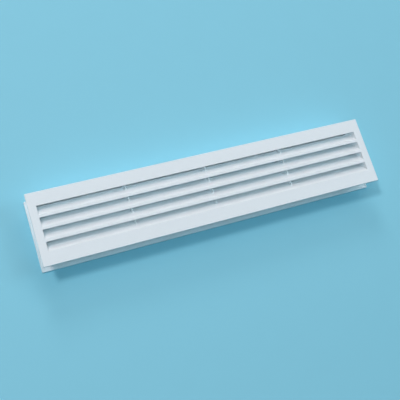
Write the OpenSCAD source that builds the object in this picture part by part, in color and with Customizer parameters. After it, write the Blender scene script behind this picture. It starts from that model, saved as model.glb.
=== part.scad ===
// Telescopic door vent grille, lying face up on its rear flange.
// Two moulded halves clamp a door from both sides. Each half is a flat
// flange, a sleeve and a nest of sloping louvre blades with thin mullions.
// The front half's sleeve slides over the rear half's sleeve along Z.
// X runs along the blades, Y is up once mounted, Z points out of the front.

/* [Flanges] */
// How far each flange reaches past its sleeve, all round
flange_overhang = 8.3; // [6:0.1:20]
// Thickness of a flange at its rim
flange_edge = 3; // [2.6:0.1:5]
// Thickness of the flange plate inside the rim
flange_skin = 2; // [1.4:0.1:2.4]
// Width of the rim that bears on the door
rim_w = 1.6; // [1:0.1:3]
// Chamfer along the outer face's edges
edge_chamfer = 0.6; // [0.2:0.1:1.2]
// Radius of a flange's corners in plan
corner_r = 1.2; // [0.8:0.1:4]

/* [Louvres] */
// Clear length of the front slots
slot_l = 434.8; // [360:0.4:560]
// Distance from one louvre blade to the next
row_pitch = 15; // [11:0.5:22]
// Width of the flat land at the front of each blade
land_h = 3.8; // [2.6:0.1:5]
// Depth of a blade, from the flange's face to its tip
blade_depth = 16; // [12:0.5:24]
// Height of a blade's tip
blade_tip_h = 1.9; // [1.2:0.1:2.4]
// Height by which a blade's tip passes the lower edge of the land above it
blade_overlap = 3.25; // [1:0.25:3.25]
// Distance between the mullions
mullion_pitch = 107; // [70:1:115]
// Thickness of a mullion
mullion_t = 1.6; // [1:0.1:3]
// Depth of a mullion's outer edge behind the flange's face
mullion_setback = 7; // [4:0.5:10]

/* [Sleeves] */
// Wall of both sleeves
sleeve_wall = 1.8; // [1.2:0.1:2.4]
// Height between the slots and the front sleeve's inside, top and bottom
sleeve_margin = 6.8; // [6.4:0.1:10]
// Gap between the two sleeves on each side
sleeve_gap = 0.25; // [0.15:0.05:0.6]
// Lead-in chamfer on the open end of each sleeve
sleeve_chamfer = 0.7; // [0.3:0.1:1]
// Width of a guide rib between the sleeves
guide_w = 2.4; // [1.5:0.1:5]
// Distance between the guide ribs along the long sides
guide_pitch = 60; // [40:1:65]
// Distance between the two guide ribs on a short side
guide_spacing = 36; // [20:1:44]
// Clearance between a guide rib and the front sleeve
guide_clearance = 0.05; // [0.02:0.01:0.1]

/* [Assembly] */
// Gap between the blade tips of the two halves when closed up
tip_gap = 4; // [1.2:0.1:8]
// Gap between the rear sleeve's end and the front blades
sleeve_end_gap = 1; // [0.6:0.1:1.2]

/* [Hidden] */
ROWS = 4;
MULLIONS = 3;
GUIDES = 7;
white_front = [0.92, 0.94, 0.95];
white_rear = [0.86, 0.89, 0.91];

total_depth = 2 * blade_depth + tip_gap;
slot_h = row_pitch - land_h;
window_h = ROWS * row_pitch - land_h;
blade_rise = slot_h + blade_overlap;

front_in_l = slot_l;
front_in_h = window_h + 2 * sleeve_margin;
front_out_l = front_in_l + 2 * sleeve_wall;
front_out_h = front_in_h + 2 * sleeve_wall;
rear_out_l = front_in_l - 2 * sleeve_gap;
rear_out_h = front_in_h - 2 * sleeve_gap;
rear_in_l = rear_out_l - 2 * sleeve_wall;
rear_in_h = rear_out_h - 2 * sleeve_wall;

flange_l = front_out_l + 2 * flange_overhang;
flange_h = front_out_h + 2 * flange_overhang;

front_sleeve_end = total_depth - flange_skin;
rear_sleeve_end = total_depth - blade_depth - sleeve_end_gap;
guide_h = sleeve_gap - guide_clearance;
// Length by which a cutting shape runs past what it cuts
over = 1;

// Each half is drawn with its outer face at Z = 0 and its depth along +Z.
// The rear half stays so, and the front half is turned over onto it.
module place_front() {
    translate([0, 0, total_depth]) mirror([0, 0, 1]) children();
}

// Y of the root of blade k, counted from the top
function blade_root(k) = window_h / 2 - k * slot_h - (k - 1) * land_h;

// A shape drawn in the (Y, depth) plane, drawn out along X and centred
module along_x(length) {
    rotate([90, 0, 90]) translate([0, 0, -length / 2]) linear_extrude(length) children();
}

// A shape drawn in the (X, depth) plane, drawn out along Y and centred
module along_y(length) {
    translate([0, length / 2, 0]) rotate([90, 0, 0]) linear_extrude(length) children();
}

// Section of a bar whose two corners at depth 0 are chamfered
module chamfered_section(width, depth, chamfer) {
    half = width / 2;
    polygon([
        [-half + chamfer, 0], [half - chamfer, 0],
        [half, chamfer], [half, depth],
        [-half, depth], [-half, chamfer]
    ]);
}

// A rectangular block whose four edges at depth 0 are chamfered
module chamfered_block(l, h, depth, chamfer) {
    intersection() {
        along_x(l) chamfered_section(h, depth, chamfer);
        along_y(h) chamfered_section(l, depth, chamfer);
    }
}

// A rectangle with round corners, centred
module rounded_rect(l, h, r) {
    square([l - 2 * r, h], center = true);
    square([l, h - 2 * r], center = true);
    for (x = [-1, 1], y = [-1, 1]) {
        translate([x * (l / 2 - r), y * (h / 2 - r)]) circle(r = r, $fn = 48);
    }
}

// A straight prism on a centred rectangle, from depth z0 to z1
module box_between(l, h, z0, z1) {
    translate([-l / 2, -h / 2, z0]) cube([l, h, z1 - z0]);
}

// Flat flange with a rim round its back and one window for the louvres
module flange(window_l) {
    difference() {
        intersection() {
            chamfered_block(flange_l, flange_h, flange_edge, edge_chamfer);
            linear_extrude(flange_edge) rounded_rect(flange_l, flange_h, corner_r);
        }
        box_between(flange_l - 2 * rim_w, flange_h - 2 * rim_w, flange_skin, flange_edge + over);
        box_between(window_l, window_h, -over, flange_edge + over);
    }
}

// Four walls from the flange plate to depth end, chamfered outside at the end
module sleeve(out_l, out_h, end) {
    difference() {
        translate([0, 0, end]) mirror([0, 0, 1])
            chamfered_block(out_l, out_h, end - flange_skin, sleeve_chamfer);
        box_between(out_l - 2 * sleeve_wall, out_h - 2 * sleeve_wall, 0, end + over);
    }
}

// Section of a louvre blade: a flat land, then a slope that thins to the tip
module blade_section() {
    polygon([
        [0, 0], [blade_rise, blade_depth],
        [blade_rise - blade_tip_h, blade_depth], [-land_h, 0]
    ]);
}

// Blade k, counted from the top. The lowest one grows out of the flange.
module blade(k, window_l) {
    difference() {
        translate([0, blade_root(k), 0]) along_x(window_l) blade_section();
        if (k == ROWS) {
            translate([0, -window_h / 2 - land_h, 0])
                box_between(window_l + over, 2 * land_h, -over, flange_skin);
        }
    }
}

// Thin web number i, in pieces that fill the spaces between the blades
module mullion(i, inside_h, window_l) {
    x = (i - (MULLIONS + 1) / 2) * mullion_pitch;
    difference() {
        translate([x, 0, 0]) box_between(mullion_t, inside_h, mullion_setback, blade_depth);
        for (k = [1 : ROWS]) {
            translate([0, blade_root(k), 0]) along_x(window_l) blade_section();
        }
    }
}

// Ribs that take up the gap between the sleeves and let them slide
module guide_ribs() {
    rib_end = rear_sleeve_end - sleeve_chamfer;
    for (side = [-1, 1], i = [0 : GUIDES - 1]) {
        x = (i - (GUIDES - 1) / 2) * guide_pitch;
        y = side * (rear_out_h / 2 + guide_h / 2);
        translate([x, y, 0]) box_between(guide_w, guide_h, flange_skin, rib_end);
    }
    for (side = [-1, 1], up = [-1, 1]) {
        x = side * (rear_out_l / 2 + guide_h / 2);
        translate([x, up * guide_spacing / 2, 0])
            box_between(guide_h, guide_w, flange_skin, rib_end);
    }
}

module front_frame() {
    color(white_front) place_front() flange(front_in_l);
}

module front_sleeve() {
    color(white_front) place_front() sleeve(front_out_l, front_out_h, front_sleeve_end);
}

module front_blade(k) {
    color(white_front) place_front() blade(k, front_in_l);
}

module front_mullion(i) {
    color(white_front) place_front() mullion(i, front_in_h, front_in_l);
}

module rear_frame() {
    color(white_rear) flange(rear_in_l);
}

module rear_sleeve() {
    color(white_rear) {
        sleeve(rear_out_l, rear_out_h, rear_sleeve_end);
        guide_ribs();
    }
}

module rear_blade(k) {
    color(white_rear) blade(k, rear_in_l);
}

module rear_mullion(i) {
    color(white_rear) mullion(i, rear_in_h, rear_in_l);
}

front_frame();
front_sleeve();
front_blade(1);  // front_blade_1
front_blade(2);  // front_blade_2
front_blade(3);  // front_blade_3
front_blade(4);  // front_blade_4
front_mullion(1);  // front_mullion_1
front_mullion(2);  // front_mullion_2
front_mullion(3);  // front_mullion_3
rear_frame();
rear_sleeve();
rear_blade(1);  // rear_blade_1
rear_blade(2);  // rear_blade_2
rear_blade(3);  // rear_blade_3
rear_blade(4);  // rear_blade_4
rear_mullion(1);  // rear_mullion_1
rear_mullion(2);  // rear_mullion_2
rear_mullion(3);  // rear_mullion_3
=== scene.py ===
# %% [markdown]
# # A telescopic door vent grille in white plastic
# The object is two mouldings that clamp a door from both sides: each has a
# flat faceplate, a collar that passes through the door, four sloping louvre
# blades and three thin webs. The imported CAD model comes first, as a fixed
# frame. Every piece built below sits where that frame says, in metres.

# %% Load the frame
import math

import bmesh
import bpy
from mathutils import Euler, Matrix, Vector


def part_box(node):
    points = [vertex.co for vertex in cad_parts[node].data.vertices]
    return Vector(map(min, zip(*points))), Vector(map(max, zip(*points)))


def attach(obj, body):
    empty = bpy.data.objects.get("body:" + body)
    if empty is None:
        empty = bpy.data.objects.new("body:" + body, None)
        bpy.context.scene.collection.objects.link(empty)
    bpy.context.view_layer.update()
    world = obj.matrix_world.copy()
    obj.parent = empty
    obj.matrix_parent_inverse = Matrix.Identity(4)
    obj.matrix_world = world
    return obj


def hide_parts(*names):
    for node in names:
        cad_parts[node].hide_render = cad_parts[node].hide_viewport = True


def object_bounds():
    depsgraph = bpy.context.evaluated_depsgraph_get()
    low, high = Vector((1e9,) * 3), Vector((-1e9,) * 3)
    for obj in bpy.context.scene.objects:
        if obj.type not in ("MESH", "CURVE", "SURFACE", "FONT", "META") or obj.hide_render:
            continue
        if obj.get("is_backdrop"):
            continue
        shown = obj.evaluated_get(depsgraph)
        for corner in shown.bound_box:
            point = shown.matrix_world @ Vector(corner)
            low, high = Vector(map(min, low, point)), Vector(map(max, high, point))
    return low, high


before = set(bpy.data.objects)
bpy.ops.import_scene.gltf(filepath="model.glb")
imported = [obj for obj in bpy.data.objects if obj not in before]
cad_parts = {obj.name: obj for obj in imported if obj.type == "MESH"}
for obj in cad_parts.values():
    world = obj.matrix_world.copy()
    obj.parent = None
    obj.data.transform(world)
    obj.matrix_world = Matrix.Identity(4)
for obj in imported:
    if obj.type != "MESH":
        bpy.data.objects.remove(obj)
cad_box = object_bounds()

LIGHT_BOUNCES = 16  # white walls pass light on many times

scene = bpy.context.scene
scene.view_settings.view_transform = "Standard"
scene.cycles.max_bounces = LIGHT_BOUNCES
scene.cycles.diffuse_bounces = LIGHT_BOUNCES


# %% [markdown]
# The camera stands where the photographer stood. Its place was worked out
# from the edges of the two faceplates. A camera that looks at a target is
# level by itself, so one more turn about its own line of sight tilts the
# grille across the picture.

# %% Camera
CAMERA_PLACE = Vector((-0.3047, -0.1917, 0.8612))
CAMERA_TARGET = Vector((-0.02266, -0.01258, 0.036))
CAMERA_ROLL = math.radians(41.6)
FOCAL_LENGTH = 64.46  # in millimetres, as the sensor's width is
SENSOR_WIDTH = 36.0


def aimed(place, target, roll=0.0):
    """The turn of a camera or lamp at place that looks at target."""
    level = (target - place).to_track_quat("-Z", "Y")
    return level @ Euler((0.0, 0.0, roll)).to_quaternion()


camera_data = bpy.data.cameras.new("camera")
camera_data.lens = FOCAL_LENGTH
camera_data.sensor_width = SENSOR_WIDTH
camera = bpy.data.objects.new("camera", camera_data)
camera.rotation_mode = "QUATERNION"
camera.location = CAMERA_PLACE
camera.rotation_quaternion = aimed(CAMERA_PLACE, CAMERA_TARGET, CAMERA_ROLL)
scene.collection.objects.link(camera)
scene.camera = camera
print("camera to grille: %.3f m" % (CAMERA_TARGET - CAMERA_PLACE).length)


# %% [markdown]
# Sizes come from the frame where it has them, so the pieces follow the CAD
# model. A box gives a node's lowest and highest corner. The few sizes that
# no box shows, such as the height of a blade's tip, are written here.

# %% Sizes
MM = 0.001
LAND_HEIGHT = 3.8 * MM
TIP_HEIGHT = 1.9 * MM
SKIN = 2.0 * MM
RIM_WIDTH = 1.6 * MM
RIM_DEPTH = 3.0 * MM
COLLAR_WALL = 1.8 * MM
ROWS = 4
WEBS = 3

plate_low, plate_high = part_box("front_frame")
TOTAL_DEPTH = plate_high.z
PLATE_LENGTH = plate_high.x - plate_low.x
PLATE_HEIGHT = plate_high.y - plate_low.y

blade_low, blade_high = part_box("front_blade_1")
next_blade_low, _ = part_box("front_blade_2")
ROW_PITCH = blade_low.y - next_blade_low.y
BLADE_DEPTH = blade_high.z - blade_low.z
TOP_ROOT = blade_low.y + LAND_HEIGHT
BLADE_RISE = blade_high.y - TOP_ROOT
SLOT_HEIGHT = ROW_PITCH - LAND_HEIGHT

web_low, web_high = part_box("front_mullion_1")
next_web_low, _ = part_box("front_mullion_2")
WEB_THICKNESS = web_high.x - web_low.x
WEB_PITCH = next_web_low.x - web_low.x
WEB_START = TOTAL_DEPTH - web_high.z
print("blades every %.1f mm, webs every %.1f mm" % (ROW_PITCH / MM, WEB_PITCH / MM))


# %% [markdown]
# The two halves differ in a few sizes, because one collar slides inside the
# other. These sizes are kept under each half's name, so that one function
# can make a piece for both. The guide ribs are part of the rear collar's
# node and stand proud of the collar, so their height is taken off its box.

# %% The two halves
RIB_HEIGHT = 0.2 * MM

halves = {}
for half in ("front", "rear"):
    blade_low, blade_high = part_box(half + "_blade_1")
    collar_low, collar_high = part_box(half + "_sleeve")
    halves[half] = {
        "body": half + "_half",
        "slot_length": blade_high.x - blade_low.x,
        "collar_length": collar_high.x - collar_low.x,
        "collar_height": collar_high.y - collar_low.y,
        "collar_end": SKIN + collar_high.z - collar_low.z,
    }
halves["rear"]["collar_length"] -= 2 * RIB_HEIGHT
halves["rear"]["collar_height"] -= 2 * RIB_HEIGHT
for half, sizes in halves.items():
    print(half, {k: round(v / MM, 2) for k, v in sizes.items() if k != "body"})


# %% [markdown]
# Node trees for shapes and for finishes are built with the same small
# helpers. The first adds a node, sets its options, and gives each input
# either a value or the output of an earlier node. The next four add the
# nodes that are needed most and give back their output. The last one starts
# a group of nodes that can be used many times.

# %% Node helpers
FLOAT = "NodeSocketFloat"
# A Mix node has its own two inputs and output for each kind of data.
MIX_SOCKETS = {"FLOAT": (2, 3, 0), "RGBA": (6, 7, 2)}


def add(tree, kind, inputs=None, **options):
    """A new node with these values, links and options."""
    node = tree.nodes.new(kind)
    for name, value in options.items():
        setattr(node, name, value)
    for key, value in (inputs or {}).items():
        if isinstance(value, bpy.types.NodeSocket):
            tree.links.new(value, node.inputs[key])
        else:
            node.inputs[key].default_value = value
    return node


def calc(tree, operation, *values):
    """What a Math node makes of these values."""
    node = add(tree, "ShaderNodeMath", dict(enumerate(values)), operation=operation)
    return node.outputs[0]


def mix(tree, share, first, second, kind="FLOAT"):
    """The first value where the share is 0, and the second where it is 1."""
    first_at, second_at, out = MIX_SOCKETS[kind]
    inputs = {0: share, first_at: first, second_at: second}
    return add(tree, "ShaderNodeMix", inputs, data_type=kind).outputs[out]


def ramp(tree, value, nought, full, **options):
    """0 where the value is at nought, 1 where it is at full."""
    inputs = {"Value": value, "From Min": nought, "From Max": full}
    return add(tree, "ShaderNodeMapRange", inputs, **options).outputs[0]


def noise(tree, place, per_metre, detail, roughness=0.5):
    """Soft random patches, about so many to a metre."""
    inputs = {"Vector": place, "Scale": per_metre, "Detail": detail}
    inputs["Roughness"] = roughness
    return add(tree, "ShaderNodeTexNoise", inputs).outputs[0]


def new_group(name, kind, inputs, outputs):
    """An empty node group with named sockets, and its two end nodes."""
    group = bpy.data.node_groups.new(name, kind)
    for socket, socket_type, value in inputs:
        made = group.interface.new_socket(
            socket, in_out="INPUT", socket_type=socket_type
        )
        if value is not None:
            made.default_value = value
    for socket, socket_type in outputs:
        group.interface.new_socket(socket, in_out="OUTPUT", socket_type=socket_type)
    start = group.nodes.new("NodeGroupInput")
    end = group.nodes.new("NodeGroupOutput")
    print("group %s: %d inputs" % (name, len(inputs)))
    return group, start.outputs, end.inputs


# %% [markdown]
# The show faces of such a moulding come from a mould that was etched to a
# fine satin grain. Close up it is a field of soft pits well under a
# millimetre wide, over a very slight unevenness that shrinkage leaves in the
# plate. A picture of the grain would blur or repeat close up, so both are
# noises here. The group gives them as one height, and the unevenness by
# itself as a cloud, which will vary the gloss.

# %% Satin grain
SWELLS_PER_METRE = 38.0

satin_grain, given, result = new_group(
    "satin_grain",
    "ShaderNodeTree",
    [("Grain Size", FLOAT, 0.6 * MM), ("Shrink Share", FLOAT, 0.5)],
    [("Height", FLOAT), ("Cloud", FLOAT)],
)
place = add(satin_grain, "ShaderNodeTexCoord").outputs["Object"]
pits_per_metre = calc(satin_grain, "DIVIDE", 1.0, given["Grain Size"])
pits = noise(satin_grain, place, pits_per_metre, detail=2.0, roughness=0.6)
swells = noise(satin_grain, place, SWELLS_PER_METRE, detail=1.0)
height = mix(satin_grain, given["Shrink Share"], pits, swells)
satin_grain.links.new(height, result["Height"])
satin_grain.links.new(swells, result["Cloud"])


# %% [markdown]
# Handling leaves two marks on a white grille: edges that cloths and fingers
# have rubbed smoother, and short faint scuffs. The rubbed edges are also
# painted a lighter white, which is a painted highlight along them. They are
# found by comparing the true normal with one that a Bevel node has blurred.
# The scuffs are a noise that has been stretched into streaks and cut off high.
# Both come in patches, because no grille is handled evenly.

# %% Handling wear, the rubbed edges and their painted highlight
FLAT_LIKENESS, EDGE_LIKENESS = 0.99, 0.8  # cosine between the two normals
PATCHES_PER_METRE = 90.0
PATCH_CUT = (0.4, 0.65)  # where the noise starts to count, and counts in full

wear_and_edge_highlight, given, result = new_group(
    "wear_and_edge_highlight",
    "ShaderNodeTree",
    [("Edge Width", FLOAT, 0.6 * MM), ("Scuff Turn", FLOAT, 0.4)],
    [("Rubbed And Highlit Edges", FLOAT), ("Scuffs", FLOAT)],
)
place = add(wear_and_edge_highlight, "ShaderNodeTexCoord").outputs["Object"]
blurred = add(wear_and_edge_highlight, "ShaderNodeBevel", {"Radius": given["Edge Width"]}, samples=4)
true_normal = add(wear_and_edge_highlight, "ShaderNodeNewGeometry").outputs["Normal"]
likeness = add(
    wear_and_edge_highlight,
    "ShaderNodeVectorMath",
    {0: blurred.outputs[0], 1: true_normal},
    operation="DOT_PRODUCT",
).outputs["Value"]
at_edge = ramp(wear_and_edge_highlight, likeness, FLAT_LIKENESS, EDGE_LIKENESS)
handled = noise(wear_and_edge_highlight, place, PATCHES_PER_METRE, detail=3.0)
patches = ramp(wear_and_edge_highlight, handled, *PATCH_CUT)
# This mask makes the edges glossier, and it also paints them lighter as a painted
# highlight.
rubbed = calc(wear_and_edge_highlight, "MULTIPLY", at_edge, patches)
wear_and_edge_highlight.links.new(rubbed, result["Rubbed And Highlit Edges"])

# %% Handling wear, the scuffs
STREAKS_PER_METRE = (60.0, 1400.0, 300.0)  # along, across and through a scuff
STREAK_CUT = (0.68, 0.74)

turned = add(
    wear_and_edge_highlight,
    "ShaderNodeVectorRotate",
    {"Vector": place, "Angle": given["Scuff Turn"]},
    rotation_type="Z_AXIS",
)
stretched = add(
    wear_and_edge_highlight,
    "ShaderNodeMapping",
    {"Vector": turned.outputs[0], "Scale": STREAKS_PER_METRE},
)
streaks = noise(wear_and_edge_highlight, stretched.outputs[0], per_metre=1.0, detail=1.0)
streak_mask = ramp(wear_and_edge_highlight, streaks, *STREAK_CUT)
scuffs = calc(wear_and_edge_highlight, "MULTIPLY", streak_mask, patches)
wear_and_edge_highlight.links.new(scuffs, result["Scuffs"])


# %% [markdown]
# Air that passes a vent leaves a little dust where it slows down: in corners
# and along the roots of the blades. The grey put there is also painted shade,
# because ambient occlusion finds those places by how little light reaches
# them. Painted by hand, it would have to be done again for each change of
# shape, so the occlusion finds them here, and a noise breaks the film up.

# %% Settled dust and painted shade in corners
OPEN_PLACE, DEEP_CORNER = 0.75, 0.2  # the share of light that gets there
DRIFTS_PER_METRE = 260.0

dust_and_painted_shade, given, result = new_group(
    "dust_and_painted_shade",
    "ShaderNodeTree",
    [("Reach", FLOAT, 8.0 * MM)],
    [("Dust And Shade", FLOAT)],
)
place = add(dust_and_painted_shade, "ShaderNodeTexCoord").outputs["Object"]
openness = add(
    dust_and_painted_shade, "ShaderNodeAmbientOcclusion", {"Distance": given["Reach"]}, samples=6
)
corner = ramp(dust_and_painted_shade, openness.outputs["AO"], OPEN_PLACE, DEEP_CORNER)
drift = noise(dust_and_painted_shade, place, DRIFTS_PER_METRE, detail=4.0)
# Greyer where occlusion finds little light: dust, and painted shade in the corners.
dust_and_shade_film = calc(dust_and_painted_shade, "MULTIPLY", corner, drift)
dust_and_painted_shade.links.new(dust_and_shade_film, result["Dust And Shade"])


# %% [markdown]
# One white plastic, two finishes. The show side has the satin grain; the
# core side, which faces into the door, is a little glossier and shows more
# of the unevenness. One function makes both from the three groups, so that
# they stay the same plastic. The scuffs of each lie another way, by an angle
# in radians.

# %% White plastic
PLASTIC_IOR = 1.5
WHITE = (0.93, 0.96, 0.97, 1.0)
RUBBED_HIGHLIGHT_WHITE = (0.945, 0.97, 0.975, 1.0)
# A grey for scuffs and dust, which also serves as painted shade in corners.
DUST_AND_SHADE_GREY = (0.50, 0.49, 0.46, 1.0)
SCUFF_GREY_SHARE = 0.08
DUST_AND_SHADE_GREY_SHARE = 0.03
CLOUD_DULLS = 0.05  # what each mark adds to the roughness, or takes off it
RUBBING_DULLS = -0.12
SCUFF_DULLS = 0.15


def white_plastic(name, roughness, grain_size, grain_depth, shrink_share, scuff_turn):
    """The grille's plastic, with the finish that one side of the mould gives."""
    material = bpy.data.materials.new(name)
    material.use_nodes = True
    tree = material.node_tree
    shader = tree.nodes["Principled BSDF"]
    shader.inputs["IOR"].default_value = PLASTIC_IOR

    grain_values = {"Grain Size": grain_size, "Shrink Share": shrink_share}
    wear_values = {"Scuff Turn": scuff_turn}
    grain = add(tree, "ShaderNodeGroup", grain_values, node_tree=satin_grain).outputs
    wear_and_highlight = add(tree, "ShaderNodeGroup", wear_values, node_tree=wear_and_edge_highlight).outputs
    dust_and_shade = add(tree, "ShaderNodeGroup", node_tree=dust_and_painted_shade).outputs

    # Scuffs and dust grey the colour, and the dust share is also painted shade in corners.
    dust_and_shade_share = calc(tree, "MULTIPLY", dust_and_shade["Dust And Shade"], DUST_AND_SHADE_GREY_SHARE)
    dirt_and_shade_share = calc(tree, "MULTIPLY_ADD", wear_and_highlight["Scuffs"], SCUFF_GREY_SHARE, dust_and_shade_share)
    # Rubbed edges get a lighter white here. This is a painted highlight along the edges,
    # besides the wear.
    worn_and_highlit = mix(tree, wear_and_highlight["Rubbed And Highlit Edges"], WHITE, RUBBED_HIGHLIGHT_WHITE, kind="RGBA")
    dirtied_and_shaded = mix(tree, dirt_and_shade_share, worn_and_highlit, DUST_AND_SHADE_GREY, kind="RGBA")
    tree.links.new(dirtied_and_shaded, shader.inputs["Base Color"])

    low, high = roughness - CLOUD_DULLS, roughness + CLOUD_DULLS
    cloud_values = {"Value": grain["Cloud"], "To Min": low, "To Max": high}
    clouded = add(tree, "ShaderNodeMapRange", cloud_values).outputs[0]
    rubbed = calc(tree, "MULTIPLY_ADD", wear_and_highlight["Rubbed And Highlit Edges"], RUBBING_DULLS, clouded)
    scuffed = calc(tree, "MULTIPLY_ADD", wear_and_highlight["Scuffs"], SCUFF_DULLS, rubbed)
    tree.links.new(scuffed, shader.inputs["Roughness"])

    bump_values = {"Height": grain["Height"], "Strength": 1.0, "Distance": grain_depth}
    bump = add(tree, "ShaderNodeBump", bump_values)
    tree.links.new(bump.outputs[0], shader.inputs["Normal"])
    return material


show_side = white_plastic(
    "show_side_plastic",
    roughness=0.42,
    grain_size=0.6 * MM,
    grain_depth=0.1 * MM,
    shrink_share=0.4,
    scuff_turn=0.4,
)
core_side = white_plastic(
    "core_side_plastic",
    roughness=0.34,
    grain_size=0.9 * MM,
    grain_depth=0.06 * MM,
    shrink_share=0.7,
    scuff_turn=1.9,
)
print("materials:", show_side.name, core_side.name)


# %% [markdown]
# Every piece is drawn like its CAD solid, in a frame of its own half: depth 0
# is the outer face and depth grows into the door. The rear half lies so on
# the floor. The front half is turned over onto it, and since a mirror turns
# faces inside out, they are flipped back.

# %% Settle a mesh and hand it over
TURN_OVER = Matrix.Translation((0, 0, TOTAL_DEPTH)) @ Matrix.Diagonal((1, 1, -1, 1))


def settled(name, mesh, half):
    """A piece whose mesh lies where its half lies in the grille."""
    if half == "front":
        mesh.transform(TURN_OVER)
        mesh.flip_normals()
    mesh.shade_smooth()
    piece = bpy.data.objects.new(name, mesh)
    scene.collection.objects.link(piece)
    return piece


def hand_over(piece, half, nodes):
    """Gives a finished piece to its body, in place of its CAD nodes."""
    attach(piece, halves[half]["body"])
    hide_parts(*nodes)
    faces = len(piece.data.polygons)
    print("%s: %d faces, rides on %s" % (piece.name, faces, halves[half]["body"]))


# %% [markdown]
# A moulding has no sharp edges, but not all are equally round. One Bevel
# modifier rounds all those of a faceplate or a collar: its width is that of
# the roundest edge, and a weight on each edge says what share of it the edge
# gets. A steep edge without a weight stays sharp, and the Weighted Normal
# modifier keeps the large faces flat in the light.

# %% Round the edges
ROUNDEST = 0.7 * MM
ROUND_STEPS = 4
SHARP_TURN = math.radians(30)
WEIGHT = "bevel_weight_edge"  # the name under which Blender looks for it


def new_mesh():
    """An empty mesh to build in, whose edges can have a weight."""
    bm = bmesh.new()
    bm.edges.layers.float.new(WEIGHT)
    return bm


def soften(bm, loop, radius, closed=True):
    """Gives each edge along a row of vertices its own rounding."""
    weight = bm.edges.layers.float[WEIGHT]
    for a, b in zip(loop, loop[1:] + loop[:1] if closed else loop[1:]):
        bm.edges.get((a, b))[weight] = radius / ROUNDEST


def even_light(piece):
    """Lets the large faces set the normals of the small ones beside them."""
    weighted = piece.modifiers.new("even_light", "WEIGHTED_NORMAL")
    weighted.keep_sharp = True


def rounded_piece(name, bm, half, material):
    """The piece that a finished mesh makes, with its weighted edges round."""
    bm.normal_update()
    weight = bm.edges.layers.float[WEIGHT]
    for edge in bm.edges:
        is_sharp = edge.calc_face_angle(0.0) > SHARP_TURN
        edge.smooth = edge[weight] > 0.0 or not is_sharp
    mesh = bpy.data.meshes.new(name)
    bm.to_mesh(mesh)
    bm.free()
    mesh.materials.append(material)
    piece = settled(name, mesh, half)
    bevel = piece.modifiers.new("rounding", "BEVEL")
    bevel.limit_method = "WEIGHT"
    bevel.width = ROUNDEST
    bevel.segments = ROUND_STEPS
    even_light(piece)
    return piece


# %% [markdown]
# The faceplate is a thin plate with a rim round its back and four slots. The
# bars between the slots are the lands of the louvre blades, so their sides
# lean as the blades do. Two lines give a blade's upper and lower side, and
# the slots, the faceplate and the louvres all take their slope from them.

# %% Slopes of the blades
def slope_at(depth):
    """Height of a blade's upper side above its root."""
    return BLADE_RISE * depth / BLADE_DEPTH


def underside_at(depth):
    """Height of a blade's lower side above its root."""
    thinning = LAND_HEIGHT - TIP_HEIGHT
    return -LAND_HEIGHT + (BLADE_RISE + thinning) * depth / BLADE_DEPTH


def slot_rows(depth):
    """Heights of the slots' edges, from the lowest up."""
    rows = []
    for k in reversed(range(ROWS)):
        root = TOP_ROOT - k * ROW_PITCH
        rows.append(root + slope_at(depth))
        if k == 0:
            rows.append(root + SLOT_HEIGHT)
        else:
            rows.append(root + ROW_PITCH + underside_at(depth))
    return rows


print("slots at the face, mm:", [round(y / MM, 2) for y in slot_rows(0.0)])


# %% [markdown]
# A Boolean could cut the slots, but its uneven faces don't take a rounding
# well. So the plate is a grid of quads on each side: the same rows and
# columns, moved a little on the back. Cells that are slots are left out and
# get walls instead. The rounded edge of a slot is a parabola that leaves the
# face and meets the wall, drawn as a few rings round the slot. Walls are
# quads between two rings, and one helper makes them here and for the collars.

# %% Rings and grids
SLOT_ROUND = 0.25 * MM
SLOT_ROUND_STEPS = 4
SLOT_COLUMN = 1  # the slots lie between the second and third line across


def ring_at(bm, corners, depth):
    """New vertices at these places, all at one depth."""
    return [bm.verts.new((*corner, depth)) for corner in corners]


def join_rings(bm, first, second):
    """Walls between two rings that have the same number of vertices."""
    for n in range(len(first)):
        m = (n + 1) % len(first)
        bm.faces.new((first[n], first[m], second[m], second[n]))


def grid_lines(half, depth, spread, inset=0.0):
    """Columns and rows of the plate, with the slots spread on all sides."""
    end_x, end_y = PLATE_LENGTH / 2 - inset, PLATE_HEIGHT / 2 - inset
    column = halves[half]["slot_length"] / 2 + spread
    # A slot's lower edge moves down by the spread, and its upper edge up.
    rows = [y + (-spread, spread)[n % 2] for n, y in enumerate(slot_rows(depth))]
    return [-end_x, -column, column, end_x], [-end_y] + rows + [end_y]


def grid_at(bm, lines, depth):
    """New vertices where these columns and rows cross, row by row."""
    columns, rows = lines
    return [ring_at(bm, [(x, y) for x in columns], depth) for y in rows]


def cell(grid, j, i):
    """The four corners of one cell, anticlockwise."""
    return [grid[j][i], grid[j][i + 1], grid[j + 1][i + 1], grid[j + 1][i]]


def boundary(grid):
    """The outer loop of a grid of vertices, anticlockwise."""
    return (
        grid[0][:-1]
        + [row[-1] for row in grid[:-1]]
        + grid[-1][:0:-1]
        + [row[0] for row in grid[:0:-1]]
    )


# %% Faceplate mesh
def slot_edge(bm, half, row):
    """Rings of a slot's rounded edge, from just inside the face inwards."""
    rings = []
    for step in range(1, SLOT_ROUND_STEPS + 1):
        share = step / SLOT_ROUND_STEPS
        depth = SLOT_ROUND * share**2
        columns, rows = grid_lines(half, depth, SLOT_ROUND * (1 - share) ** 2)
        x0, x1 = columns[SLOT_COLUMN : SLOT_COLUMN + 2]
        y0, y1 = rows[row : row + 2]
        rings.append(ring_at(bm, ((x0, y0), (x1, y0), (x1, y1), (x0, y1)), depth))
    return rings


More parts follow.
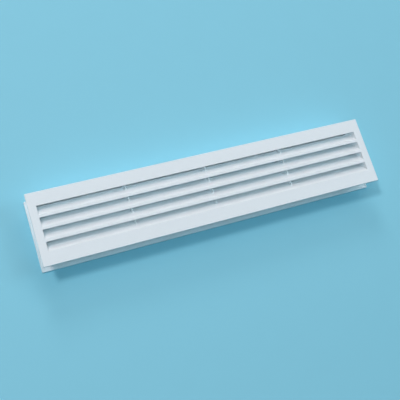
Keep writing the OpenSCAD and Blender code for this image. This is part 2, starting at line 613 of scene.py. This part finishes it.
def make_faceplate(half):
    """The plate and its rim, with square edges, and the rings of the rim."""
    bm = new_mesh()
    front = grid_at(bm, grid_lines(half, 0.0, SLOT_ROUND), 0.0)
    back = grid_at(bm, grid_lines(half, SKIN, 0.0, RIM_WIDTH), SKIN)
    for j in range(len(front) - 1):
        for i in range(len(front[0]) - 1):
            is_slot = i == SLOT_COLUMN and j % 2 == 1  # every second row has one
            if is_slot:
                slot = [cell(front, j, i), *slot_edge(bm, half, j), cell(back, j, i)]
                for outer, inner in zip(slot, slot[1:]):
                    join_rings(bm, inner, outer)  # so that they face the slot
            else:
                # The front faces away from depth, so its quads run clockwise.
                bm.faces.new(cell(front, j, i)[::-1])
                bm.faces.new(cell(back, j, i))

    face_edge, rim_foot = boundary(front), boundary(back)
    rim_outside, rim_inside = (
        ring_at(bm, [v.co.xy for v in edge], RIM_DEPTH) for edge in (face_edge, rim_foot)
    )
    rings = [face_edge, rim_outside, rim_inside, rim_foot]
    for outer, inner in zip(rings, rings[1:]):
        join_rings(bm, outer, inner)
    return bm, rings


# %% [markdown]
# The roundings meet at the faceplate's corners, where one modifier for all of
# them would fold the mesh. So the four corners of the outline are rounded
# first, in the mesh itself. The modifier is left with the edges that lie
# level with the face or the rim, and with the rim's four inner corners.

# %% Faceplates
CORNER_ROUND = 1.2 * MM
CORNER_STEPS = 4
EDGE_ROUND = 0.6 * MM
RIM_ROUND = 0.3 * MM
SQUARE_TURN = math.radians(60)
TINY = 0.001 * MM  # places that are closer than this count as the same


def round_corners(bm, rings):
    """Rounds the four corners of the outline, through the plate and its rim."""
    face_edge, rim_outside, rim_inside, rim_foot = rings
    uprights, diagonals = [], []
    for n, v in enumerate(face_edge):
        at_end = abs(abs(v.co.x) - PLATE_LENGTH / 2) < TINY
        at_side = abs(abs(v.co.y) - PLATE_HEIGHT / 2) < TINY
        if at_end and at_side:
            uprights.append(bm.edges.get((v, rim_outside[n])))
            diagonals.append(bm.edges.get((rim_outside[n], rim_inside[n])))
            soften(bm, [rim_inside[n], rim_foot[n]], RIM_ROUND, closed=False)
    bmesh.ops.dissolve_edges(bm, edges=diagonals)
    bmesh.ops.bevel(
        bm,
        geom=uprights,
        affect="EDGES",
        offset=CORNER_ROUND,
        segments=CORNER_STEPS,
        profile=0.5,  # an arc of a circle
    )


def soften_level(bm, depth, radius):
    """Gives the square edges that lie at one depth their rounding."""
    weight = bm.edges.layers.float[WEIGHT]
    for edge in bm.edges:
        level = all(abs(v.co.z - depth) < TINY for v in edge.verts)
        if level and edge.calc_face_angle(0.0) > SQUARE_TURN:
            edge[weight] = radius / ROUNDEST


for half in halves:
    bm, rings = make_faceplate(half)
    round_corners(bm, rings)
    bm.normal_update()
    soften_level(bm, 0.0, EDGE_ROUND)
    soften_level(bm, RIM_DEPTH, RIM_ROUND)
    plate = rounded_piece(half + "_faceplate", bm, half, show_side)
    hand_over(plate, half, [half + "_frame"])


# %% [markdown]
# The collar is a rectangular tube, drawn as four rings of corners, so that
# each edge can have its own rounding. It starts inside the plate's thickness,
# so no seam shows, and the rounded edge of its open end leads it into the
# other half. Where two pieces of one half meet face to face, one of them is
# a hair thinner, because two faces in the same plane spoil a render.

# %% Collars
TUCK = 0.4 * MM  # how far a piece reaches into the one that carries it
PLAY = 0.015 * MM  # how much thinner it is than its place
LEAD_IN = 0.7 * MM


def rectangle(x, y):
    """Corners of a rectangle that reaches x and y from its middle."""
    return (-x, -y), (x, -y), (x, y), (-x, y)


def make_collar(half):
    """A tube whose outer edges are rounder than its inner ones."""
    sizes = halves[half]
    outer = (sizes["collar_length"] / 2, sizes["collar_height"] / 2)
    inner = tuple(reach - COLLAR_WALL + PLAY for reach in outer)
    start, end = SKIN - TUCK, sizes["collar_end"]
    bm = new_mesh()
    rings = [
        ring_at(bm, rectangle(*reach), depth)
        for reach, depth in ((outer, start), (outer, end), (inner, end), (inner, start))
    ]
    for first, second in zip(rings, rings[1:] + rings[:1]):
        join_rings(bm, first, second)
    outer_start, outer_end, inner_end, inner_start = rings
    soften(bm, outer_end, LEAD_IN)
    soften(bm, inner_end, RIM_ROUND)
    for n in range(len(outer_end)):
        soften(bm, [outer_start[n], outer_end[n]], LEAD_IN, closed=False)
        soften(bm, [inner_end[n], inner_start[n]], RIM_ROUND, closed=False)
    return rounded_piece(half + "_collar", bm, half, core_side)


for half in halves:
    hand_over(make_collar(half), half, [half + "_sleeve"])


# %% [markdown]
# Blades, webs and guide ribs repeat at an even pitch, which is work for
# Geometry Nodes. The trees share a few helpers: a vector from its parts, the
# start of a centred length or row, a row of copies, and the two ends of a
# tree. The last helper feeds a tree its sizes and turns what it makes into a
# plain mesh, so that nothing of the tree is left on the piece.

# %% Helpers for Geometry Nodes
def vector(tree, **parts):
    """A vector from its X, Y and Z, where each is a number or a socket."""
    return add(tree, "ShaderNodeCombineXYZ", parts).outputs[0]


def centred(tree, length):
    """Where a length has to start to have its middle at the origin."""
    return calc(tree, "MULTIPLY", length, -0.5)


def centred_row(tree, count, pitch):
    """Where a row of points has to start to have its middle at the origin."""
    gaps = calc(tree, "ADD", count, -1.0)
    return centred(tree, calc(tree, "MULTIPLY", gaps, pitch))


def row_of(tree, shape, count, start, step):
    """Copies of a shape, one on each point of a straight row."""
    line = {"Count": count, "Start Location": start, "Offset": step}
    points = add(tree, "GeometryNodeMeshLine", line).outputs[0]
    copying = {"Points": points, "Instance": shape}
    return add(tree, "GeometryNodeInstanceOnPoints", copying).outputs[0]


def shape_tree(name, counts, sizes):
    """An empty tree with inputs for a material, for counts and for sizes."""
    inputs = [("Material", "NodeSocketMaterial", None)]
    inputs += [(count, "NodeSocketInt", 1) for count in counts]
    inputs += [(size, FLOAT, 0.0) for size in sizes]
    return new_group(
        name, "GeometryNodeTree", inputs, [("Geometry", "NodeSocketGeometry")]
    )


def end_tree(tree, geometry, material, result):
    """Every tree ends in real geometry with its material on."""
    realized = add(tree, "GeometryNodeRealizeInstances", {"Geometry": geometry})
    painted = add(
        tree,
        "GeometryNodeSetMaterial",
        {"Geometry": realized.outputs[0], "Material": material},
    )
    tree.links.new(painted.outputs[0], result["Geometry"])


def grown(name, tree, material, values, half):
    """The plain mesh that a tree makes with these values, as one piece."""
    seed_mesh = bpy.data.meshes.new(name + "_seed")
    seed = bpy.data.objects.new(name + "_tree", seed_mesh)
    scene.collection.objects.link(seed)
    modifier = seed.modifiers.new("shape", "NODES")
    modifier.node_group = tree
    sockets = {s.name: s.identifier for s in tree.interface.items_tree}
    for key, value in {"Material": material, **values}.items():
        modifier[sockets[key]] = value
    depsgraph = bpy.context.evaluated_depsgraph_get()
    mesh = bpy.data.meshes.new_from_object(
        seed.evaluated_get(depsgraph), depsgraph=depsgraph
    )
    mesh.name = name
    bpy.data.objects.remove(seed)
    bpy.data.meshes.remove(seed_mesh)
    return settled(name, mesh, half)


# %% [markdown]
# A half has four equal blades. An Array modifier could repeat one of them,
# but a tree also draws it from named sizes, and only its length differs
# between the halves. The section has four points, two at the root and two at
# the tip. The tip's corners are rounded, and the section is swept along a
# straight line. A row of points places the copies.

# %% Louvre tree, one blade
TIP_STEPS = 4
ROOT_TO_TIP = 1.5  # points 0 and 1 are at the root, 2 and 3 at the tip
# Each corner of the section, as its height and its depth.
SECTION = (
    ("Start Bottom", "Start Depth"),
    ("Start Top", "Start Depth"),
    ("Tip Top", "Tip Depth"),
    ("Tip Bottom", "Tip Depth"),
)

section_sizes = sorted({size for point in SECTION for size in point})
louvre_tree, given, result = shape_tree(
    "louvre_nest",
    counts=["Rows"],
    sizes=["Row Pitch", "Top Root", "Length", "Tip Round", *section_sizes],
)
corners = [vector(louvre_tree, X=given[y], Y=given[depth]) for y, depth in SECTION]
section = add(
    louvre_tree,
    "GeometryNodeCurvePrimitiveQuadrilateral",
    {"Point %d" % (n + 1): corner for n, corner in enumerate(corners)},
    mode="POINTS",
)
index = add(louvre_tree, "GeometryNodeInputIndex").outputs[0]
at_tip = calc(louvre_tree, "GREATER_THAN", index, ROOT_TO_TIP)
tip_round = calc(louvre_tree, "MULTIPLY", at_tip, given["Tip Round"])
rounded = add(
    louvre_tree,
    "GeometryNodeFilletCurve",
    {"Curve": section.outputs[0], "Count": TIP_STEPS, "Radius": tip_round},
    mode="POLY",
)
rail = add(
    louvre_tree,
    "GeometryNodeCurvePrimitiveLine",
    {"End": vector(louvre_tree, Z=given["Length"])},
)
swept = add(
    louvre_tree,
    "GeometryNodeCurveToMesh",
    {
        "Curve": rail.outputs[0],
        "Profile Curve": rounded.outputs[0],
        "Fill Caps": True,
    },
)
# The sweep ran along Z. This turn takes it to X, heights to Y, depths to Z.
laid = add(
    louvre_tree,
    "GeometryNodeTransform",
    {
        "Geometry": swept.outputs[0],
        "Translation": vector(louvre_tree, X=centred(louvre_tree, given["Length"])),
        "Rotation": (math.pi / 2, 0.0, math.pi / 2),
    },
)

# %% Louvre tree, the row of blades
down = calc(louvre_tree, "MULTIPLY", given["Row Pitch"], -1.0)
blades = row_of(
    louvre_tree,
    laid.outputs[0],
    given["Rows"],
    start=vector(louvre_tree, Y=given["Top Root"]),
    step=vector(louvre_tree, Y=down),
)
end_tree(louvre_tree, blades, given["Material"], result)

# %% Louvres
TIP_ROUND = 0.5 * MM
CREASE_TURN = math.radians(40)


def make_louvres(half):
    """The nest of blades of one half, rooted in its faceplate."""
    start = SKIN - TUCK
    values = {
        "Rows": ROWS,
        "Row Pitch": ROW_PITCH,
        "Top Root": TOP_ROOT,
        "Length": halves[half]["slot_length"] + 2 * TUCK,
        "Start Depth": start,
        "Tip Depth": BLADE_DEPTH,
        "Start Top": slope_at(start) - PLAY,
        "Start Bottom": underside_at(start) + PLAY,
        "Tip Top": BLADE_RISE - PLAY,
        "Tip Bottom": BLADE_RISE - TIP_HEIGHT + PLAY,
        "Tip Round": TIP_ROUND,
    }
    piece = grown(half + "_louvres", louvre_tree, show_side, values, half)
    piece.data.set_sharp_from_angle(angle=CREASE_TURN)
    even_light(piece)
    return piece


for half in halves:
    nodes = ["%s_blade_%d" % (half, k + 1) for k in range(ROWS)]
    hand_over(make_louvres(half), half, nodes)


# %% [markdown]
# Three thin webs tie the blades together, well behind the face. In the CAD
# model the blades cut them up. Here each is one thin wall that passes through
# all the blades, which looks the same and needs no cuts. Walls and ribs are
# plain blocks with every edge equally round, so a Bevel modifier without
# weights is enough for them.

# %% Web tree
web_tree, given, result = shape_tree(
    "web_row",
    counts=["Webs"],
    sizes=["Web Pitch", "Thickness", "Height", "Start Depth", "End Depth"],
)
wall_depth = calc(web_tree, "SUBTRACT", given["End Depth"], given["Start Depth"])
wall_size = vector(web_tree, X=given["Thickness"], Y=given["Height"], Z=wall_depth)
wall = add(web_tree, "GeometryNodeMeshCube", {"Size": wall_size})
both_depths = calc(web_tree, "ADD", given["End Depth"], given["Start Depth"])
middle_depth = calc(web_tree, "MULTIPLY", both_depths, 0.5)
first_web = centred_row(web_tree, given["Webs"], given["Web Pitch"])
webs = row_of(
    web_tree,
    wall.outputs[0],
    given["Webs"],
    start=vector(web_tree, X=first_web, Z=middle_depth),
    step=vector(web_tree, X=given["Web Pitch"]),
)
end_tree(web_tree, webs, given["Material"], result)

# %% Webs
WEB_ROUND = 0.35 * MM
WEB_ROUND_STEPS = 3
WEB_SHORT = 0.2 * MM  # how much less deep a web goes than the blades


def round_block_edges(piece, radius, steps):
    """Rounds every edge of a piece that is made of plain blocks."""
    bevel = piece.modifiers.new("rounding", "BEVEL")
    bevel.width = radius
    bevel.segments = steps
    bevel.harden_normals = True


def make_webs(half):
    """The webs of one half, with their ends in the collar's walls."""
    values = {
        "Webs": WEBS,
        "Web Pitch": WEB_PITCH,
        "Thickness": WEB_THICKNESS,
        "Height": halves[half]["collar_height"] - 2 * COLLAR_WALL + 2 * TUCK,
        "Start Depth": WEB_START,
        "End Depth": BLADE_DEPTH - WEB_SHORT,
    }
    piece = grown(half + "_webs", web_tree, show_side, values, half)
    round_block_edges(piece, WEB_ROUND, WEB_ROUND_STEPS)
    return piece


for half in halves:
    nodes = ["%s_mullion_%d" % (half, i + 1) for i in range(WEBS)]
    hand_over(make_webs(half), half, nodes)


# %% [markdown]
# Low ribs on the rear collar take up the play between the two collars and
# let one slide in the other. They stand in rows along the two long and the
# two short sides, so a small group that makes one pair of rows is used
# twice in the tree.

# %% A pair of rib rows
rib_rows, given, result = new_group(
    "rib_rows",
    "GeometryNodeTree",
    [
        ("Rib", "NodeSocketGeometry", None),
        ("Count", "NodeSocketInt", 1),
        ("Pitch", FLOAT, 0.0),
        ("Reach", FLOAT, 0.0),
        ("Depth", FLOAT, 0.0),
        ("Turn", FLOAT, 0.0),
    ],
    [("Geometry", "NodeSocketGeometry")],
)
first_rib = centred_row(rib_rows, given["Count"], given["Pitch"])
one_row = row_of(
    rib_rows,
    given["Rib"],
    given["Count"],
    start=vector(rib_rows, X=first_rib, Y=given["Reach"], Z=given["Depth"]),
    step=vector(rib_rows, X=given["Pitch"]),
)
solid_row = add(rib_rows, "GeometryNodeRealizeInstances", {"Geometry": one_row})
other_row = add(
    rib_rows,
    "GeometryNodeTransform",
    {"Geometry": solid_row.outputs[0], "Rotation": (0.0, 0.0, math.pi)},
)
pair = add(rib_rows, "GeometryNodeJoinGeometry")
for row in (solid_row, other_row):
    rib_rows.links.new(row.outputs[0], pair.inputs[0])
placed = add(
    rib_rows,
    "GeometryNodeTransform",
    {"Geometry": pair.outputs[0], "Rotation": vector(rib_rows, Z=given["Turn"])},
)
rib_rows.links.new(placed.outputs[0], result["Geometry"])

# %% Guide rib tree
SIDE_TURNS = {"Long": 0.0, "Short": math.pi / 2}

rib_tree, given, result = shape_tree(
    "guide_ribs",
    counts=["%s Count" % side for side in SIDE_TURNS],
    sizes=["Rib Width", "Rib Thickness", "Rib Length", "Middle Depth"]
    + ["%s %s" % (side, size) for side in SIDE_TURNS for size in ("Pitch", "Reach")],
)
rib_size = vector(
    rib_tree, X=given["Rib Width"], Y=given["Rib Thickness"], Z=given["Rib Length"]
)
rib = add(rib_tree, "GeometryNodeMeshCube", {"Size": rib_size})
both = add(rib_tree, "GeometryNodeJoinGeometry")
for side, turn in SIDE_TURNS.items():
    values = {key: given["%s %s" % (side, key)] for key in ("Count", "Pitch", "Reach")}
    values.update(Rib=rib.outputs[0], Depth=given["Middle Depth"], Turn=turn)
    rows = add(rib_tree, "GeometryNodeGroup", values, node_tree=rib_rows)
    rib_tree.links.new(rows.outputs[0], both.inputs[0])
end_tree(rib_tree, both.outputs[0], given["Material"], result)

# %% Guide ribs
RIB_WIDTH = 2.4 * MM
RIB_START = SKIN
RIB_END = halves["rear"]["collar_end"] - LEAD_IN
RIB_ROUND = 0.12 * MM
RIB_ROUND_STEPS = 2
LONG_COUNT, LONG_PITCH = 7, 60.0 * MM
SHORT_COUNT, SHORT_PITCH = 2, 36.0 * MM

rib_middle = (RIB_HEIGHT - TUCK) / 2  # from the collar's face to a rib's middle
rib_values = {
    "Rib Width": RIB_WIDTH,
    "Rib Thickness": RIB_HEIGHT + TUCK,
    "Rib Length": RIB_END - RIB_START,
    "Middle Depth": (RIB_END + RIB_START) / 2,
    "Long Count": LONG_COUNT,
    "Long Pitch": LONG_PITCH,
    "Long Reach": halves["rear"]["collar_height"] / 2 + rib_middle,
    "Short Count": SHORT_COUNT,
    "Short Pitch": SHORT_PITCH,
    "Short Reach": halves["rear"]["collar_length"] / 2 + rib_middle,
}
guides = grown("rear_guide_ribs", rib_tree, core_side, rib_values, "rear")
round_block_edges(guides, RIB_ROUND, RIB_ROUND_STEPS)
hand_over(guides, "rear", ["rear_sleeve"])


# %% [markdown]
# The grille lies on a plain pale table top. It is large enough to fill any
# view from above. Far from the grille, where the lamps hardly reach, what the
# camera sees of it turns into the colour of the backdrop, so that low views
# have no hard horizon. Reflections see it too, but it lights nothing.

# %% Floor material
TABLE_BLUE = (0.30, 0.70, 0.84, 1.0)
MOTTLE_LIFT = 1.02
MOTTLED_BLUE = (*(MOTTLE_LIFT * part for part in TABLE_BLUE[:3]), 1.0)
MOTTLES_PER_METRE = 30.0
TABLE_SPECULAR, TABLE_ROUGHNESS = 0.2, 0.7
BACKDROP_BLUE = (0.20, 0.50, 0.64, 1.0)  # as the table top looks under the lamps
FADE_START, FADE_END = 0.7, 2.2  # metres from the grille's middle


def seen_directly(tree):
    """1 for a ray from the camera or off a shiny or clear surface, else 0."""
    rays = add(tree, "ShaderNodeLightPath").outputs
    unscattered = calc(tree, "MAXIMUM", rays["Is Camera Ray"], rays["Is Glossy Ray"])
    return calc(tree, "MAXIMUM", unscattered, rays["Is Transmission Ray"])


floor_material = bpy.data.materials.new("pale_table_top")
floor_material.use_nodes = True
tree = floor_material.node_tree
shader = tree.nodes["Principled BSDF"]
shader.inputs["Specular IOR Level"].default_value = TABLE_SPECULAR
shader.inputs["Roughness"].default_value = TABLE_ROUGHNESS
place = add(tree, "ShaderNodeTexCoord").outputs["Object"]
mottle = noise(tree, place, MOTTLES_PER_METRE, detail=4.0)
tint = mix(tree, mottle, TABLE_BLUE, MOTTLED_BLUE, kind="RGBA")
tree.links.new(tint, shader.inputs["Base Color"])

away = add(tree, "ShaderNodeVectorMath", {0: place}, operation="LENGTH").outputs["Value"]
fade = ramp(tree, away, FADE_START, FADE_END, interpolation_type="SMOOTHSTEP")
seen_fade = calc(tree, "MULTIPLY", fade, seen_directly(tree))
glow = add(tree, "ShaderNodeEmission", {"Color": BACKDROP_BLUE})
faded = add(
    tree,
    "ShaderNodeMixShader",
    {0: seen_fade, 1: shader.outputs[0], 2: glow.outputs[0]},
)
tree.links.new(faded.outputs[0], tree.nodes["Material Output"].inputs["Surface"])

# %% Floor
FLOOR_SIDE = 6.0

floor_mesh = bpy.data.meshes.new("table_top")
floor_corners = rectangle(FLOOR_SIDE / 2, FLOOR_SIDE / 2)
floor_mesh.from_pydata([(x, y, 0) for x, y in floor_corners], [], [(0, 1, 2, 3)])
floor_mesh.materials.append(floor_material)
table_top = bpy.data.objects.new("table_top", floor_mesh)
scene.collection.objects.link(table_top)
table_top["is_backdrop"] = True
print("table top: %.1f m wide" % FLOOR_SIDE)


# %% [markdown]
# Soft round lamps light the grille as in a studio. The main one stands at the
# upper left of the picture and draws the shadows, and a low one behind the
# grille lights the blades near their roots. The others fill from the right and
# from beside the camera. Two of these are as blue as the light that a blue
# table sends back, and they tint the depths of the slots.

# %% Lamps
LEVEL_WATTS = math.pi**2  # power at 1 m that lights a facing surface to level 1
LAMP_DISTANCE = 3.6
DAY_WHITE = (1.0, 0.945, 0.965)
BLUE_FILL = (0.66, 0.885, 1.0)


def soft_lamp(name, height, bearing, size, level, color):
    """A lamp at a height above the table and a bearing from +X, in degrees."""
    height, bearing = math.radians(height), math.radians(bearing)
    data = bpy.data.lights.new(name, "AREA")
    data.shape = "DISK"
    data.size = size
    data.color = color
    data.energy = level * LEVEL_WATTS * LAMP_DISTANCE**2
    lamp = bpy.data.objects.new(name, data)
    lamp.location = LAMP_DISTANCE * Vector(
        (
            math.cos(height) * math.cos(bearing),
            math.cos(height) * math.sin(bearing),
            math.sin(height),
        )
    )
    lamp.rotation_mode = "QUATERNION"
    lamp.rotation_quaternion = aimed(lamp.location, Vector((0, 0, 0)))
    scene.collection.objects.link(lamp)
    print("%s: %.1f W" % (name, data.energy))


soft_lamp("main_lamp", height=58, bearing=143, size=0.7, level=0.31, color=DAY_WHITE)
soft_lamp("low_lamp", height=28, bearing=90, size=1.2, level=0.24, color=DAY_WHITE)
soft_lamp("right_lamp", height=48, bearing=54, size=1.8, level=0.15, color=DAY_WHITE)
soft_lamp("camera_lamp", height=66, bearing=-150, size=1.0, level=0.22, color=BLUE_FILL)
soft_lamp("side_lamp", height=45, bearing=0, size=1.8, level=0.20, color=BLUE_FILL)


# %% [markdown]
# The world is a faint blue light from all sides. What the camera and
# reflections see of it is the backdrop's plain colour, which lights nothing.

# %% World
SKY_BLUE = (0.62, 0.86, 1.0, 1.0)
SKY_LEVEL = 0.01

world = bpy.data.worlds.new("studio")
scene.world = world
world.use_nodes = True
tree = world.node_tree
light = tree.nodes["Background"]
light.inputs["Color"].default_value = SKY_BLUE
light.inputs["Strength"].default_value = SKY_LEVEL
backdrop = add(tree, "ShaderNodeBackground", {"Color": BACKDROP_BLUE})
mixed = add(
    tree,
    "ShaderNodeMixShader",
    {0: seen_directly(tree), 1: light.outputs[0], 2: backdrop.outputs[0]},
)
tree.links.new(mixed.outputs[0], tree.nodes["World Output"].inputs["Surface"])


# %% [markdown]
# Last, the size of the finished model is printed beside the size of the CAD
# model, to show that nothing has grown.

# %% Finish
visual_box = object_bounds()
sizes = {
    "cad": [list(corner) for corner in cad_box],
    "visual": [list(corner) for corner in visual_box],
}
for name, (low, high) in (("cad", cad_box), ("visual", visual_box)):
    print(name, "size in mm:", [round((b - a) / MM, 3) for a, b in zip(low, high)])
